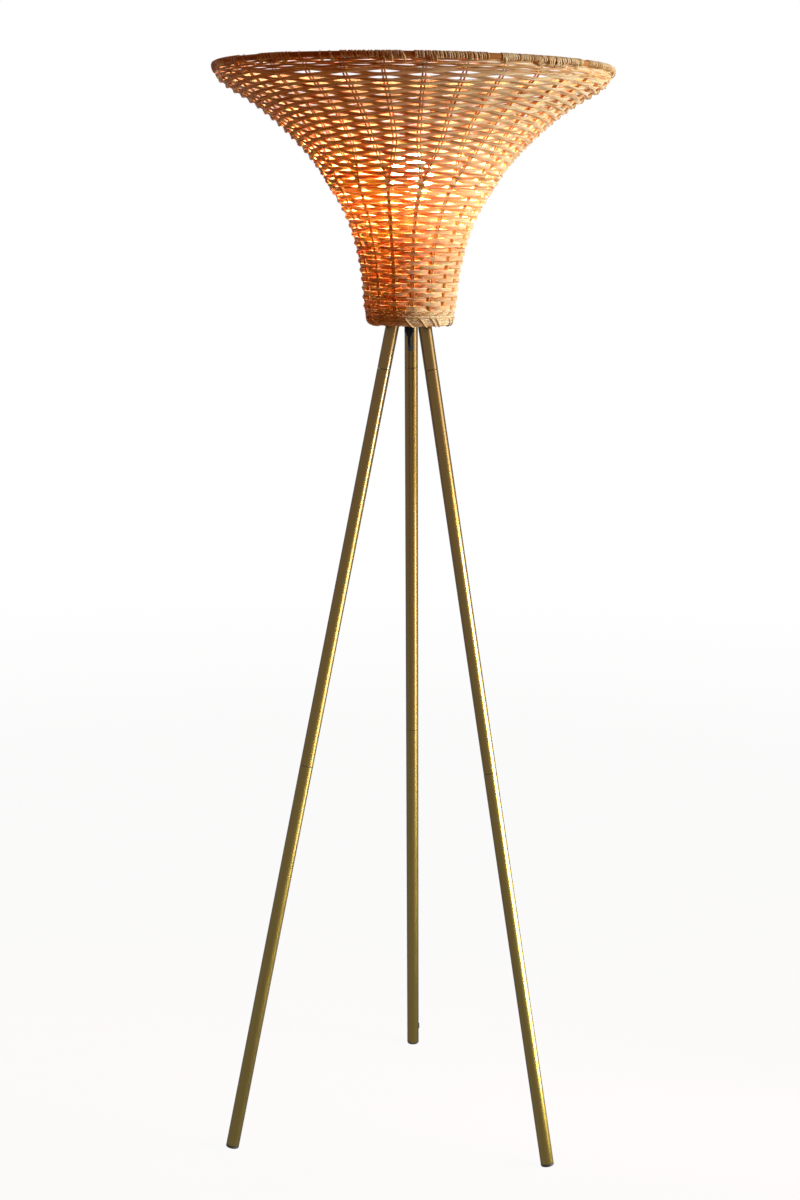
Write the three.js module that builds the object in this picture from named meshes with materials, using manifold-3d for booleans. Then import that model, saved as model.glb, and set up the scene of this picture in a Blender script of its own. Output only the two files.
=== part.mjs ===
// Tripod floor lamp: three screwed brass-finished tube legs, a hub, and a woven rattan shade
// that opens upwards like a trumpet round one lampholder and bulb.
// Millimetres, +Z up. The origin is on the floor, below the middle of the shade.
// The back leg points to +Y, the other two to the left and right front.
import * as THREE from "three";
import { mergeVertices } from "three/addons/utils/BufferGeometryUtils.js";
import Module from "manifold-3d";

const wasm = await Module();
wasm.setup();

// Clearances, shared by all pieces
const seatGap = 0.3; // faces that rest on each other, and shafts in their bores
const overrun = 5; // how far a cutting tool runs past the piece it cuts
const weldTolerance = 0.0001; // vertices nearer than this are one vertex

// The stand as a whole
const footCircleRadius = 266.5; // where the leg axes meet the floor
const shadeFootHeight = 1194; // underside of the shade above the floor
const legCircleRadiusAtShade = 26; // leg axes at the underside of the shade
const lean = Math.atan2(footCircleRadius - legCircleRadiusAtShade, shadeFootHeight);

// Leg tubes, each leg made of two equal tubes and a short stub that is fixed to the hub
const tubeRadius = 9.5;
const tubeWall = 1.2;
const tubeBore = tubeRadius - tubeWall;
const tubeEdge = 0.4; // small chamfer on both ends
const stubLength = 68.5; // along its axis, up to the hub

// Foot plugs
const footFlange = 3.5;
const footEdge = 0.8;
const footPatchDepth = 5; // how far the worn flat reaches in from the inner edge
const footShankLength = 12;
const footShankWall = 2;
const footShankLead = 1;
const footStart = (tubeRadius - footPatchDepth) * Math.tan(lean);

// Screwed joints between the tubes
const insertRadius = tubeBore - seatGap;
const studBodyLength = 16;
const studThreadRadius = 6;
const studThreadLength = 10;
const studBore = 4.5;
const socketLength = 12;

// Hub: a disc that the stubs carry, and the threaded riser tube clamped through it
const hubRecess = 6; // from the underside of the shade up to the disc
const hubRadius = 48;
const hubThickness = 3;
const hubEdge = 0.5;
const hubBottom = shadeFootHeight + hubRecess;
const hubTop = hubBottom + hubThickness;
const riserRadius = 5;
const riserBore = 4;
const riserAboveHub = 102;
const riserTop = hubTop + riserAboveHub;
const riserThreadAbove = 9; // how far the riser screws into the lampholder
const riserHole = riserRadius + seatGap;
const nutAcrossFlats = 14;
const nutThickness = 3;
const washerRadius = 17;
const washerThickness = 1.5;
const lowerNutBottom = hubBottom - seatGap - nutThickness;

// Places along a leg, measured from where its axis meets the floor
const legEnd = (hubBottom - seatGap) / Math.cos(lean);
const lowerTubeStart = footStart + footFlange + seatGap;
const stubStart = legEnd - stubLength;
const tubeLength = (stubStart - lowerTubeStart) / 2 - seatGap;
const lowerTubeEnd = lowerTubeStart + tubeLength;
const upperTubeStart = lowerTubeEnd + seatGap;
const upperTubeEnd = upperTubeStart + tubeLength;

// Cord grip under the hub, and the lead
const leadRadius = 2.5;
const leadHole = leadRadius + seatGap;
const gripRadius = 7.1;
const gripEndRadius = 3.8;
const gripShoulderDrop = 13; // from the top of the grip down to where it starts to taper
const gripLength = 19.4;
const gripThreadDepth = 9;
const gripTop = lowerNutBottom - seatGap;
const gripEndHeight = gripTop - gripLength;

// Grommets where the lead enters the back stub and leaves the lower back tube
const grommetLipRadius = 4.6;
const grommetNeckRadius = 3.7;
const grommetLip = 1.1;
const entryGrommetRise = 30; // from the bottom of the stub up to the hole
const entryGrommetAlong = stubStart + entryGrommetRise;
const exitGrommetAlong = 32;
const exitAngle = THREE.MathUtils.degToRad(-75); // round the leg, from straight outwards

// Shade: a woven shell between a bottom border and a whipped rim hoop
const rimHoopRadius = 271; // to the middle of the rod
const shadeHeight = 346; // from the bottom of the border to the middle of the rod
const rimHoopHeight = shadeFootHeight + shadeHeight;
const rimRodRadius = 5; // rod with its whipping
const neckRadius = 60;
const weaveThickness = 5;
const stakePairs = 32; // above the split; below it they stand in half as many groups
const stakeTurn = THREE.MathUtils.degToRad(-81.5); // azimuth of one stake pair
const rowPitch = 6.2; // from one woven row to the next, along the wall
const weaveRelief = 2.8; // how much further in a row lies where it passes behind a stake
const splitShare = 0.53; // share of the height where the groups split into pairs
const closedFootShare = 0.26; // share of the rows, from the border up, without windows
const closedEdgeRows = 4; // twined rows below the hoop, without windows
const windowRows = 2; // rows that one window takes the place of
const windowPeriod = 4; // rows from one window to the next above it
const borderHeight = 9;
const borderInnerRadius = 50;
const borderOuterRadius = 61.5;
const discThickness = 6;
// Outer outline from foot to rim: share of the way out from neck to hoop, share of the height
const outlineShares = [
  [0.008, 0.0],
  [0.015, 0.05],
  [0.024, 0.133],
  [0.057, 0.254],
  [0.123, 0.393],
  [0.218, 0.503],
  [0.346, 0.624],
  [0.498, 0.728],
  [0.664, 0.818],
  [0.839, 0.89],
  [0.957, 0.932],
  [0.994, 0.962],
  [1.0, 1.0],
];

// Lampholder
const holderRadius = 19.5;
const holderWall = 2;
const holderNeckRadius = 8;
const holderNeckHeight = 6;
const holderBottom = riserTop - riserThreadAbove;
const holderCapHeight = 22;
const holderSkirtLength = 34;
const blockRadius = 15.5;
const blockThickness = 6.5;
const blockRise = 14; // from the bottom of the lampholder up to its terminal block
const blockBottom = holderBottom + blockRise;
const screwShellWall = 0.5;
const screwShellHeight = 25;
const contactStripWidth = 5;
const contactStripThickness = 0.6;
const contactStripReach = 8;
const contactStripRise = 2.6;

// Bulb
const bulbRadius = 30;
const bulbLength = 108;
const bulbGlassWall = 1;
const bulbCapRadius = 13.2;
const bulbCapHeight = 27;
const bulbCapWall = 0.5;
const bulbContactRadius = 4.8;
const bulbContactHeight = 1.5;
const bulbInsulatorHeight = 4.5;
const bulbInsulatorRadius = 11;
const bulbNeckRadius = 14;
const contactTip = blockBottom + blockThickness + seatGap + contactStripRise + contactStripThickness;
const bulbBottom = contactTip + seatGap;

// Sides of the round pieces
const tubeSides = 24;
const insertSides = 16;
const hubSides = 36;
const rimSides = 72;
const rodSides = 8;
const holderSides = 24;

// Finishes
function finish(colour, roughness, metalness) {
  return () => new THREE.MeshStandardMaterial({ color: colour, roughness, metalness });
}
const agedBrass = finish(0x7d6a3c, 0.38, 0.9);
const zincSteel = finish(0xb4b6b8, 0.4, 0.9);
const blackRubber = finish(0x16150f, 0.75, 0);
const blackPlastic = finish(0x17171a, 0.5, 0);
const blackFlex = finish(0x101416, 0.55, 0);
const plywood = finish(0xb98d57, 0.7, 0);
const rattan = finish(0xc08545, 0.6, 0);
const whitePlastic = finish(0xe9e4d8, 0.45, 0);
const porcelain = finish(0xf1eee6, 0.25, 0);
const brightBrass = finish(0xc9a24b, 0.3, 1);
const nickel = finish(0xc8c6c0, 0.3, 1);
const opalGlass = finish(0xfff1d6, 0.3, 0);
const blackGlass = finish(0x121214, 0.2, 0);

// Shape helpers

// Turns a mesh geometry into a manifold solid, with its shared vertices merged.
function solidOf(geometry) {
  const bare = geometry.clone();
  bare.deleteAttribute("normal");
  bare.deleteAttribute("uv");
  const merged = mergeVertices(bare, weldTolerance);
  const corners = merged.index.array;
  const kept = [];
  for (let i = 0; i < corners.length; i += 3) {
    const [a, b, c] = [corners[i], corners[i + 1], corners[i + 2]];
    if (a !== b && b !== c && c !== a) kept.push(a, b, c);
  }
  return new wasm.Manifold(
    new wasm.Mesh({
      numProp: 3,
      vertProperties: new Float32Array(merged.attributes.position.array),
      triVerts: new Uint32Array(kept),
    }),
  );
}

// Gives a manifold solid back as a mesh geometry.
function geometryOf(solid) {
  const mesh = solid.getMesh();
  const geometry = new THREE.BufferGeometry();
  geometry.setAttribute("position", new THREE.BufferAttribute(mesh.vertProperties, 3));
  geometry.setIndex(new THREE.BufferAttribute(mesh.triVerts, 1));
  geometry.computeVertexNormals();
  return geometry;
}

function subtract(geometry, ...tools) {
  let solid = solidOf(geometry);
  for (const tool of tools) solid = solid.subtract(solidOf(tool));
  return geometryOf(solid);
}

// Revolves [radius, height] pairs round the Z axis. The outline runs anticlockwise: up on the outside.
function revolve(outline, sides) {
  const points = outline.map(([radius, height]) => new THREE.Vector2(radius, height));
  const geometry = new THREE.LatheGeometry(points, sides);
  return geometry.rotateX(Math.PI / 2);
}

// Revolves an outline that doesn't touch the axis, closing it on its first point.
function revolveClosed(outline, sides) {
  return revolve([...outline, outline[0]], sides);
}

function ring(innerRadius, outerRadius, bottom, top, sides) {
  return revolveClosed(
    [
      [innerRadius, bottom],
      [outerRadius, bottom],
      [outerRadius, top],
      [innerRadius, top],
    ],
    sides,
  );
}

function rod(radius, bottom, top, sides) {
  return revolve(
    [
      [0, bottom],
      [radius, bottom],
      [radius, top],
      [0, top],
    ],
    sides,
  );
}

// A tube with its outer edges broken at both ends.
function chamferedTube(bottom, top) {
  return revolveClosed(
    [
      [tubeBore, bottom],
      [tubeRadius - tubeEdge, bottom],
      [tubeRadius, bottom + tubeEdge],
      [tubeRadius, top - tubeEdge],
      [tubeRadius - tubeEdge, top],
      [tubeBore, top],
    ],
    tubeSides,
  );
}

function hexNut(bottom, thickness) {
  const corner = nutAcrossFlats / 2 / Math.cos(Math.PI / 6);
  const outline = new THREE.Shape();
  for (let side = 0; side < 6; side++) {
    const angle = (side * Math.PI) / 3;
    const [x, y] = [corner * Math.cos(angle), corner * Math.sin(angle)];
    if (side === 0) outline.moveTo(x, y);
    else outline.lineTo(x, y);
  }
  outline.closePath();
  const hole = new THREE.Path();
  hole.absarc(0, 0, riserHole, 0, Math.PI * 2, true);
  outline.holes.push(hole);
  const nut = new THREE.ExtrudeGeometry(outline, {
    depth: thickness,
    bevelEnabled: false,
    curveSegments: insertSides / 2,
  });
  return nut.translate(0, 0, bottom);
}

const lamp = new THREE.Group();

function place(name, geometry, material, parent = lamp) {
  const mesh = new THREE.Mesh(geometry, material());
  mesh.name = name;
  parent.add(mesh);
  return mesh;
}

// Legs

// Takes a geometry from the lamp's frame, with the leg standing to +X, into the leg's own frame.
function intoLegFrame(geometry) {
  return geometry.translate(-footCircleRadius, 0, 0).rotateY(lean);
}

// Everything below the floor, seen from a leg.
function belowFloor() {
  const size = 4 * tubeRadius;
  const block = new THREE.BoxGeometry(size, size, size);
  return intoLegFrame(block.translate(footCircleRadius, 0, -size / 2));
}

// Everything above the underside of the hub disc, seen from a leg.
function aboveHubUnderside() {
  const size = 4 * tubeRadius;
  const block = new THREE.BoxGeometry(size, size, size);
  return intoLegFrame(block.translate(legCircleRadiusAtShade, 0, hubBottom - seatGap + size / 2));
}

// Lays a shape made along +Z across a leg, pointing out at an angle round it, a distance along it.
function acrossLeg(geometry, angle, along) {
  return geometry.rotateY(Math.PI / 2).rotateZ(angle).translate(0, 0, along);
}

// A soft plug: a flange as wide as the tube, worn flat where it meets the floor, and a hollow shank.
function footPlug() {
  const flangeTop = footStart + footFlange;
  const shankRadius = insertRadius;
  const shankTop = flangeTop + footShankLength;
  const plug = revolve(
    [
      [0, footStart],
      [tubeRadius - footEdge, footStart],
      [tubeRadius, footStart + footEdge],
      [tubeRadius, flangeTop],
      [shankRadius, flangeTop],
      [shankRadius, shankTop - footShankLead],
      [shankRadius - footShankLead, shankTop],
      [shankRadius - footShankWall, shankTop],
      [shankRadius - footShankWall, flangeTop],
      [0, flangeTop],
    ],
    tubeSides,
  );
  return subtract(plug, belowFloor());
}

// The male half of a joint: pressed into the top of a tube, its thread standing out of it.
function jointStud(tubeEnd) {
  return revolveClosed(
    [
      [studBore, tubeEnd - studBodyLength],
      [insertRadius, tubeEnd - studBodyLength],
      [insertRadius, tubeEnd],
      [studThreadRadius, tubeEnd],
      [studThreadRadius, tubeEnd + studThreadLength],
      [studBore, tubeEnd + studThreadLength],
    ],
    insertSides,
  );
}

// The female half: pressed into the bottom of the next tube, so that it takes the thread.
function jointSocket(tubeStart) {
  return ring(studThreadRadius + seatGap, insertRadius, tubeStart, tubeStart + socketLength, insertSides);
}

// The hole that a grommet sits in.
function grommetHole(angle, along) {
  return acrossLeg(rod(grommetNeckRadius + seatGap, 0, tubeRadius + overrun, insertSides), angle, along);
}

// A soft ring that grips the edge of its hole from both sides, shaped to the round of the tube.
function grommet(angle, along) {
  const innerEnd = tubeBore - 2 * grommetLip - seatGap;
  const outerEnd = tubeRadius + grommetLip + seatGap;
  const body = ring(leadHole, grommetLipRadius, innerEnd, outerEnd, insertSides);
  const reach = grommetLipRadius + overrun;
  const wall = ring(tubeBore - seatGap, tubeRadius + seatGap, along - reach, along + reach, tubeSides);
  const neck = acrossLeg(rod(grommetNeckRadius, 0, outerEnd, insertSides), angle, along);
  const groove = geometryOf(solidOf(wall).subtract(solidOf(neck)));
  return subtract(acrossLeg(body, angle, along), groove);
}

function buildLeg(side, azimuth) {
  const turned = new THREE.Group();
  turned.rotation.z = azimuth;
  lamp.add(turned);
  const leg = new THREE.Group();
  leg.position.x = footCircleRadius;
  leg.rotation.y = -lean;
  turned.add(leg);

  const carriesLead = side === "back";
  let lowerTube = chamferedTube(lowerTubeStart, lowerTubeEnd);
  let stub = chamferedTube(stubStart, legEnd + overrun);
  stub = subtract(stub, aboveHubUnderside());
  if (carriesLead) {
    lowerTube = subtract(lowerTube, grommetHole(exitAngle, exitGrommetAlong));
    stub = subtract(stub, grommetHole(Math.PI, entryGrommetAlong));
    place("entry_grommet", grommet(Math.PI, entryGrommetAlong), blackRubber, leg);
    place("exit_grommet", grommet(exitAngle, exitGrommetAlong), blackRubber, leg);
  }
  place("foot_" + side, footPlug(), blackRubber, leg);
  place("lower_tube_" + side, lowerTube, agedBrass, leg);
  place("lower_stud_" + side, jointStud(lowerTubeEnd), zincSteel, leg);
  place("lower_socket_" + side, jointSocket(upperTubeStart), zincSteel, leg);
  place("upper_tube_" + side, chamferedTube(upperTubeStart, upperTubeEnd), agedBrass, leg);
  place("upper_stud_" + side, jointStud(upperTubeEnd), zincSteel, leg);
  place("upper_socket_" + side, jointSocket(stubStart), zincSteel, leg);
  place("leg_stub_" + side, stub, agedBrass, leg);
  return leg;
}

const backLeg = buildLeg("back", Math.PI / 2);
buildLeg("left", Math.PI / 2 + (2 * Math.PI) / 3);
buildLeg("right", Math.PI / 2 - (2 * Math.PI) / 3);

// Hub and clamped stack, from the grip below the disc up to the nut that holds the shade
const discBottom = hubTop + seatGap;
const discTop = discBottom + discThickness;
const washerBottom = discTop + seatGap;
const upperNutBottom = washerBottom + washerThickness + seatGap;
const lockNutBottom = holderBottom - seatGap - nutThickness;

place(
  "hub_plate",
  revolveClosed(
    [
      [riserHole, hubBottom],
      [hubRadius - hubEdge, hubBottom],
      [hubRadius, hubBottom + hubEdge],
      [hubRadius, hubTop],
      [riserHole, hubTop],
    ],
    hubSides,
  ),
  agedBrass,
);
place("lower_nut", hexNut(lowerNutBottom, nutThickness), zincSteel);
place("riser_tube", ring(riserBore, riserRadius, gripTop - gripThreadDepth + seatGap, riserTop, insertSides), zincSteel);
place(
  "cord_grip",
  revolveClosed(
    [
      [leadHole, gripEndHeight],
      [gripEndRadius, gripEndHeight],
      [gripRadius, gripTop - gripShoulderDrop],
      [gripRadius, gripTop],
      [riserHole, gripTop],
      [riserHole, gripTop - gripThreadDepth],
      [leadHole, gripTop - gripThreadDepth],
    ],
    tubeSides,
  ),
  blackPlastic,
);
place("clamp_washer", ring(riserHole, washerRadius, washerBottom, washerBottom + washerThickness, tubeSides), zincSteel);
place("shade_nut", hexNut(upperNutBottom, nutThickness), zincSteel);
place("holder_lock_nut", hexNut(lockNutBottom, nutThickness), zincSteel);

// Shade

const outline = new THREE.SplineCurve(
  outlineShares.map(
    ([out, up]) =>
      new THREE.Vector2(neckRadius + out * (rimHoopRadius - neckRadius), shadeFootHeight + up * shadeHeight),
  ),
);

// Stations on the outer outline from the top of the border up to the hoop: point and outward normal.
function outlineStations(count) {
  const bottom = shadeFootHeight + borderHeight + seatGap;
  const top = rimHoopHeight - rimRodRadius - seatGap;
  const fine = outline.getSpacedPoints(count * 10);
  const start = fine.findIndex((point) => point.y > bottom) / (count * 10);
  const end = fine.findIndex((point) => point.y > top) / (count * 10);
  const stations = [];
  for (let i = 0; i <= count; i++) {
    const along = start + ((end - start) * i) / count;
    const tangent = outline.getTangentAt(along);
    stations.push({ at: outline.getPointAt(along), out: new THREE.Vector2(tangent.y, -tangent.x) });
  }
  stations[0].at.y = bottom;
  stations[count].at.y = top;
  stations[0].out.set(1, 0);
  stations[count].out.set(1, 0);
  return stations;
}

// How far in the wall lies at a crossing of a row and a stake: rows pass in front and behind in turn.
function crossingDepth(row, stake, height) {
  const inGroups = height < shadeFootHeight + splitShare * shadeHeight;
  if (!inGroups) return (row + stake) % 2 === 0 ? 0 : weaveRelief;
  if (stake % 2 === 1) return weaveRelief / 2;
  return (row + stake / 2) % 2 === 0 ? 0 : weaveRelief;
}

// One ring of the wall, a point at each stake, set in from the outline by the depth at each.
function wallRing({ at, out }, depthAt) {
  const ringPoints = [];
  for (let stake = 0; stake < stakePairs; stake++) {
    const angle = stakeTurn + (stake * 2 * Math.PI) / stakePairs;
    const depth = depthAt(stake);
    const radius = at.x - out.x * depth;
    ringPoints.push([radius * Math.cos(angle), radius * Math.sin(angle), at.y - out.y * depth]);
  }
  return ringPoints;
}

const weaveRows = Math.round(outline.getLength() / rowPitch);
const firstWindowRow = Math.round(closedFootShare * weaveRows);
const wallStations = outlineStations(weaveRows);

// Windows stand in every other space between stakes, in level rows, and let the light through.
function isWindow(row, stake) {
  if (row < firstWindowRow || row >= weaveRows - closedEdgeRows) return false;
  return stake % 2 === 0 && (row - firstWindowRow) % windowPeriod < windowRows;
}

function isWall(row, stake) {
  return row >= 0 && row < weaveRows && !isWindow(row, stake);
}

// The wall as one closed solid. On the outer face the diagonals run between the deeper corners.
function closedWall(outerRings, innerRings) {
  const indices = [];
  const innerStart = outerRings.length * stakePairs;
  const addQuad = (a, b, c, d) => indices.push(a, b, c, a, c, d);
  const addReveal = (from, to) => addQuad(to, from, from + innerStart, to + innerStart);
  for (let row = 0; row < weaveRows; row++) {
    for (let stake = 0; stake < stakePairs; stake++) {
      if (!isWall(row, stake)) continue;
      const nextStake = (stake + 1) % stakePairs;
      const previousStake = (stake + stakePairs - 1) % stakePairs;
      const a = row * stakePairs + stake;
      const b = row * stakePairs + nextStake;
      const c = b + stakePairs;
      const d = a + stakePairs;
      if (crossingDepth(row, stake, wallStations[row].at.y) === 0) addQuad(b, c, d, a);
      else addQuad(a, b, c, d);
      addQuad(a + innerStart, d + innerStart, c + innerStart, b + innerStart);
      if (!isWall(row - 1, stake)) addReveal(a, b);
      if (!isWall(row, nextStake)) addReveal(b, c);
      if (!isWall(row + 1, stake)) addReveal(c, d);
      if (!isWall(row, previousStake)) addReveal(d, a);
    }
  }
  const geometry = new THREE.BufferGeometry();
  geometry.setAttribute("position", new THREE.Float32BufferAttribute([...outerRings, ...innerRings].flat(2), 3));
  geometry.setIndex(indices);
  geometry.computeVertexNormals();
  return geometry;
}

const outerRings = wallStations.map((station, row) => {
  const isEdge = row === 0 || row === weaveRows;
  return wallRing(station, (stake) => (isEdge ? 0 : crossingDepth(row, stake, station.at.y)));
});
const innerRings = wallStations.map((station) => wallRing(station, () => weaveThickness));
place("shade_weave", closedWall(outerRings, innerRings), rattan);

const wallFootRadius = (wallStations[0].at.x - weaveThickness) * Math.cos(Math.PI / stakePairs);
const discRadius = wallFootRadius - seatGap;
place("shade_disc", ring(riserHole, discRadius, discBottom, discTop, hubSides), plywood);

// Bottom border: flat on top, where the disc and the weave stand, and rounded below.
const borderRound = borderHeight / 2;
const borderTop = shadeFootHeight + borderHeight;
const borderOutline = [[borderInnerRadius, borderTop]];
const roundSteps = 5;
for (let i = 0; i <= roundSteps; i++) {
  const angle = Math.PI + (i * Math.PI) / roundSteps;
  const middle = i <= roundSteps / 2 ? borderInnerRadius + borderRound : borderOuterRadius - borderRound;
  borderOutline.push([
    middle + borderRound * Math.cos(angle),
    shadeFootHeight + borderRound + borderRound * Math.sin(angle),
  ]);
}
borderOutline.push([borderOuterRadius, borderTop]);
place("bottom_border", revolveClosed(borderOutline, hubSides), rattan);

const rodOutline = [];
for (let i = 0; i < rodSides; i++) {
  const angle = ((i + 0.5) * 2 * Math.PI) / rodSides;
  const size = rimRodRadius / Math.cos(Math.PI / rodSides);
  rodOutline.push([rimHoopRadius + size * Math.cos(angle), rimHoopHeight + size * Math.sin(angle)]);
}
place("rim_hoop", revolveClosed(rodOutline, rimSides), rattan);

// Lampholder
const holderCapTop = holderBottom + holderCapHeight;
const skirtBottom = holderCapTop + seatGap;
const blockTop = blockBottom + blockThickness;
const holderShoulder = holderBottom + holderNeckHeight;
place(
  "lampholder_cap",
  revolveClosed(
    [
      [riserHole, holderBottom],
      [holderNeckRadius, holderBottom],
      [holderNeckRadius, holderShoulder],
      [holderRadius, holderShoulder + holderNeckHeight],
      [holderRadius, holderCapTop],
      [holderRadius - holderWall, holderCapTop],
      [holderRadius - holderWall, blockBottom - seatGap],
      [holderNeckRadius, blockBottom - seatGap],
      [riserHole, riserTop + seatGap],
    ],
    holderSides,
  ),
  whitePlastic,
);
place(
  "lampholder_skirt",
  ring(holderRadius - holderWall, holderRadius, skirtBottom, skirtBottom + holderSkirtLength, holderSides),
  whitePlastic,
);
place("terminal_block", rod(blockRadius, blockBottom, blockTop, holderSides), porcelain);

// Brass screw shell: a thin cup with an inward foot that stands on the block.
const screwShellInner = bulbCapRadius + seatGap;
const screwShellBottom = blockTop + seatGap;
const screwFootRadius = bulbCapRadius - 3 * bulbCapWall - seatGap;
place(
  "screw_shell",
  revolveClosed(
    [
      [screwFootRadius, screwShellBottom],
      [screwShellInner + screwShellWall, screwShellBottom],
      [screwShellInner + screwShellWall, screwShellBottom + screwShellHeight],
      [screwShellInner, screwShellBottom + screwShellHeight],
      [screwShellInner, screwShellBottom + screwShellWall],
      [screwFootRadius, screwShellBottom + screwShellWall],
    ],
    holderSides,
  ),
  brightBrass,
);

// Sprung strip that touches the bulb's end contact: a flat foot, a ramp and a flat tip.
function contactStrip() {
  const foot = -contactStripReach;
  const ramp = -contactStripReach / 2;
  const tip = bulbContactRadius / 2;
  const t = contactStripThickness;
  const side = new THREE.Shape([
    new THREE.Vector2(foot, 0),
    new THREE.Vector2(ramp, 0),
    new THREE.Vector2(-tip, contactStripRise),
    new THREE.Vector2(tip, contactStripRise),
    new THREE.Vector2(tip, contactStripRise + t),
    new THREE.Vector2(-tip, contactStripRise + t),
    new THREE.Vector2(ramp, t),
    new THREE.Vector2(foot, t),
  ]);
  const strip = new THREE.ExtrudeGeometry(side, { depth: contactStripWidth, bevelEnabled: false });
  return strip.translate(0, 0, -contactStripWidth / 2).rotateX(Math.PI / 2).translate(0, 0, blockTop + seatGap);
}
place("centre_contact", contactStrip(), brightBrass);

// Bulb, which turns as one piece in the screw shell
const insulatorBottom = bulbBottom + bulbContactHeight + seatGap;
const insulatorTop = insulatorBottom + bulbInsulatorHeight;
const capBottom = insulatorTop + seatGap;
const capTop = bulbBottom + bulbCapHeight;
const glassBottom = capTop + seatGap;
const globeHeight = bulbBottom + bulbLength - bulbRadius;
place("bulb_contact", rod(bulbContactRadius, bulbBottom, bulbBottom + bulbContactHeight, insertSides), nickel);
place(
  "bulb_insulator",
  revolve(
    [
      [0, insulatorBottom],
      [bulbContactRadius, insulatorBottom],
      [bulbInsulatorRadius, insulatorTop],
      [0, insulatorTop],
    ],
    holderSides,
  ),
  blackGlass,
);
place(
  "bulb_cap",
  revolveClosed(
    [
      [bulbInsulatorRadius - bulbCapWall, capBottom],
      [bulbInsulatorRadius, capBottom],
      [bulbCapRadius, capBottom + bulbCapRadius - bulbInsulatorRadius],
      [bulbCapRadius, capTop],
      [bulbCapRadius - bulbCapWall, capTop],
      [bulbCapRadius - bulbCapWall, capBottom + bulbCapRadius - bulbInsulatorRadius],
    ],
    holderSides,
  ),
  nickel,
);

// Glass: a round globe that runs down in a hollow curve to its neck.
function glassOutline(inset) {
  const radius = bulbRadius - inset;
  const points = [];
  const globeSteps = 7;
  const lowest = THREE.MathUtils.degToRad(-35);
  const neck = new THREE.Vector2(bulbNeckRadius - inset, glassBottom);
  const start = new THREE.Vector2(radius * Math.cos(lowest), globeHeight + radius * Math.sin(lowest));
  const waist = new THREE.Vector2(bulbNeckRadius - inset, glassBottom + (start.y - glassBottom) / 2);
  const flank = new THREE.QuadraticBezierCurve(neck, waist, start);
  const flankSteps = 3;
  for (const point of flank.getPoints(flankSteps)) points.push([point.x, point.y]);
  for (let i = 1; i <= globeSteps; i++) {
    const angle = lowest + ((Math.PI / 2 - lowest) * i) / globeSteps;
    points.push([i === globeSteps ? 0 : radius * Math.cos(angle), globeHeight + radius * Math.sin(angle)]);
  }
  return points;
}
place(
  "bulb_glass",
  revolve([...glassOutline(bulbGlassWall).reverse(), ...glassOutline(0)], holderSides),
  opalGlass,
);

// Lead: down through the riser and the grip, over into the back stub, down the leg to its exit.
// Points in a leg's frame are [outwards, aside, along the leg].
function backLegPoint([outwards, aside, along]) {
  backLeg.updateWorldMatrix(true, false);
  return new THREE.Vector3(outwards, aside, along).applyMatrix4(backLeg.matrixWorld);
}

const exitWay = new THREE.Vector2(Math.cos(exitAngle), Math.sin(exitAngle));

// A point in the foot of the leg, by how far it lies towards the exit hole and above it.
function nearExit(towards, above) {
  return backLegPoint([towards * exitWay.x, towards * exitWay.y, exitGrommetAlong + above]);
}

const leadTop = blockBottom - seatGap;
const leadBend = 17; // radius of the bend between the grip and the grommet

// A point of the bend below the grip, by the angle it has turned through.
function belowGrip(degrees) {
  const angle = THREE.MathUtils.degToRad(degrees);
  return new THREE.Vector3(
    0,
    leadBend * (1 - Math.cos(angle)),
    gripEndHeight - seatGap - leadBend * Math.sin(angle),
  );
}

// A point in the top of the leg, by how far it lies outwards of the axis and below the entry hole.
function nearEntry(outwards, below) {
  return backLegPoint([outwards, 0, entryGrommetAlong - below]);
}

// A point on the leg's axis, at a share of the way up from the exit hole to the entry hole.
function onAxis(share) {
  return backLegPoint([0, 0, THREE.MathUtils.lerp(exitGrommetAlong, entryGrommetAlong, share)]);
}

const straightShares = [0.88, 0.76, 0.64, 0.52, 0.4, 0.28, 0.16, 0.075];
const leadRoute = [
  new THREE.Vector3(0, 0, leadTop),
  new THREE.Vector3(0, 0, riserTop),
  new THREE.Vector3(0, 0, discTop),
  new THREE.Vector3(0, 0, gripTop),
  belowGrip(0),
  belowGrip(30),
  belowGrip(60),
  belowGrip(88),
  nearEntry(-12, 0),
  nearEntry(-5.4, 0),
  nearEntry(0.6, 2),
  nearEntry(3.9, 7),
  nearEntry(3.4, 13.4),
  nearEntry(1.5, 20.4),
  nearEntry(0.3, 30.4),
  nearEntry(0, 50),
  ...straightShares.map(onAxis),
  nearExit(0, 38),
  nearExit(-2.2, 20),
  nearExit(-3.9, 11),
  nearExit(-3.2, 5),
  nearExit(0.4, 0.8),
  nearExit(5, 0),
  nearExit(tubeRadius, 0),
];

// The steps follow the points of the route, so they lie closer in the bends than in the straights.
class LeadCurve extends THREE.CatmullRomCurve3 {
  getUtoTmapping(share) {
    return share;
  }
}

const stepsBetweenPoints = 2;
const leadSides = 8;
const leadSection = new THREE.Shape();
for (let i = 0; i < leadSides; i++) {
  const angle = (i * 2 * Math.PI) / leadSides;
  const [x, y] = [leadRadius * Math.cos(angle), leadRadius * Math.sin(angle)];
  if (i === 0) leadSection.moveTo(x, y);
  else leadSection.lineTo(x, y);
}
leadSection.closePath();
place(
  "lead",
  new THREE.ExtrudeGeometry(leadSection, {
    steps: (leadRoute.length - 1) * stepsBetweenPoints,
    bevelEnabled: false,
    extrudePath: new LeadCurve(leadRoute),
  }),
  blackFlex,
);

export default lamp;
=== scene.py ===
import math

import bmesh
import bpy
from mathutils import Matrix, Vector


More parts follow.
